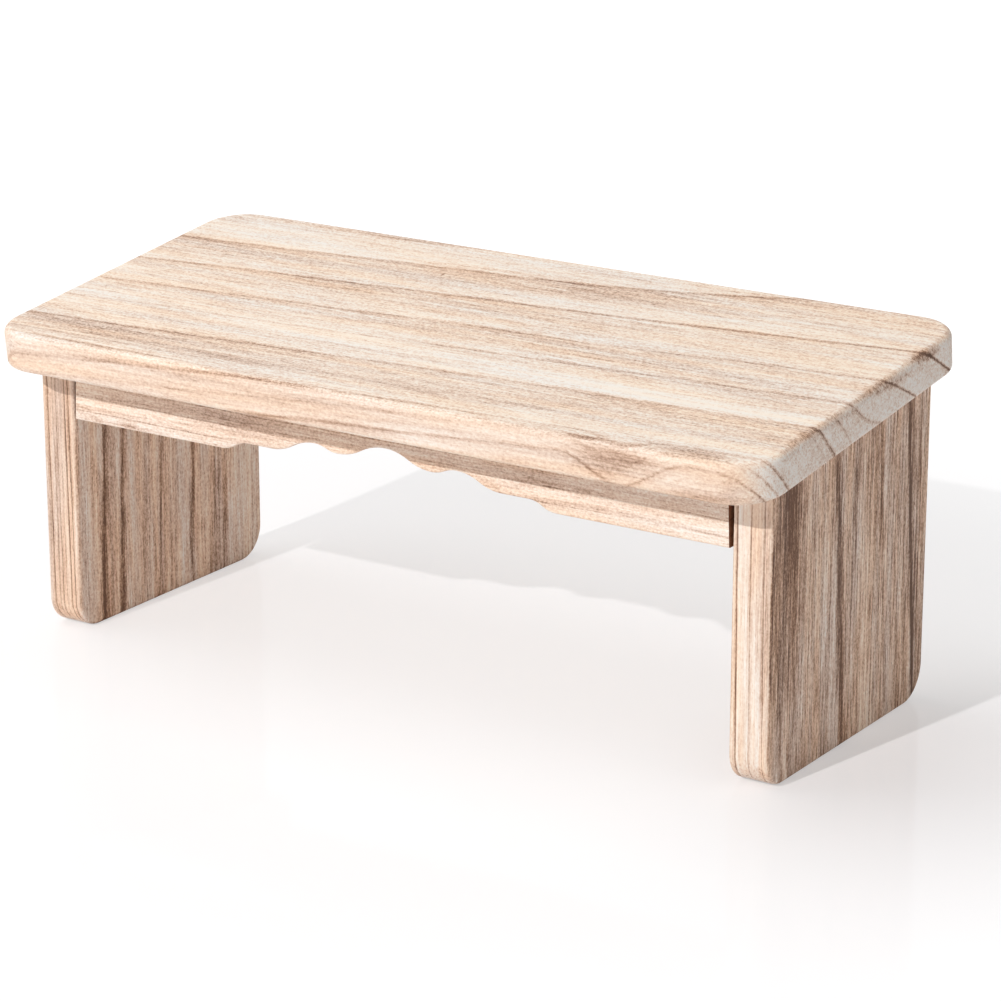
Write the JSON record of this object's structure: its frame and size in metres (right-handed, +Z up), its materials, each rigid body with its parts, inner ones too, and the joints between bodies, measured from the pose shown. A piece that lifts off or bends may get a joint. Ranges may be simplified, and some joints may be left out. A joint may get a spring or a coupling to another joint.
{
  "type": "folding meditation bench",
  "caption": "Low kneeling bench: a plank seat sloping to the front, a scalloped front apron, and two upright plank legs that fold inwards and lie flat under the seat.",
  "frame": {"origin": "on the floor under the middle of the bench's outer box", "axes": "+X along the seat, to the right for a viewer in front of the apron (left and right in the names are that viewer's); +Y from the apron to the back; +Z up"},
  "size_m": [0.45, 0.2082, 0.189],
  "materials": {
    "seat_wood": "bare planed board, satin, wide pale growth bands with thin brown ring lines along the seat",
    "apron_wood": "bare planed board, satin, grain along the seat",
    "leg_wood": "bare planed board, satin, grain upright, brown ring lines",
    "cleat_wood": "bare planed block, satin",
    "dowel_wood": "turned beech",
    "hinge_brass": "brushed brass, lightly dulled",
    "screw_brass": "polished brass",
    "screw_steel": "zinc-plated steel",
    "magnet_nickel": "nickel-plated disc",
    "strike_steel": "zinc-plated steel disc"
  },
  "bodies": {
    "bench_top": {"apron_dowels": "dowel_wood", "front_apron": "apron_wood", "left_cleat": "cleat_wood", "left_cleat_leaf_screws": "screw_brass", "left_cleat_magnet": "magnet_nickel", "left_cleat_screws": "screw_steel", "left_front_hinge_cleat_leaf": "hinge_brass", "left_front_hinge_pin": "hinge_brass", "left_rear_hinge_cleat_leaf": "hinge_brass", "left_rear_hinge_pin": "hinge_brass", "right_cleat": "cleat_wood", "right_cleat_leaf_screws": "screw_brass", "right_cleat_magnet": "magnet_nickel", "right_cleat_screws": "screw_steel", "right_front_hinge_cleat_leaf": "hinge_brass", "right_front_hinge_pin": "hinge_brass", "right_rear_hinge_cleat_leaf": "hinge_brass", "right_rear_hinge_pin": "hinge_brass", "seat_board": "seat_wood"},
    "left_support": {"left_front_hinge_leg_leaf": "hinge_brass", "left_leg": "leg_wood", "left_leg_leaf_screws": "screw_brass", "left_leg_strike": "strike_steel", "left_rear_hinge_leg_leaf": "hinge_brass"},
    "right_support": {"right_front_hinge_leg_leaf": "hinge_brass", "right_leg": "leg_wood", "right_leg_leaf_screws": "screw_brass", "right_leg_strike": "strike_steel", "right_rear_hinge_leg_leaf": "hinge_brass"}
  },
  "joints": [
    {"name": "left_leg_fold", "type": "hinge", "parent": "bench_top", "child": "left_support", "pos_m": [-0.19065, 0.01022, 0.12628], "axis": [0, -0.9936, -0.1132], "range_deg": [0, 90]},
    {"name": "right_leg_fold", "type": "hinge", "parent": "bench_top", "child": "right_support", "pos_m": [0.19065, 0.01022, 0.12628], "axis": [0, 0.9936, 0.1132], "range_deg": [0, 90]}
  ]
}
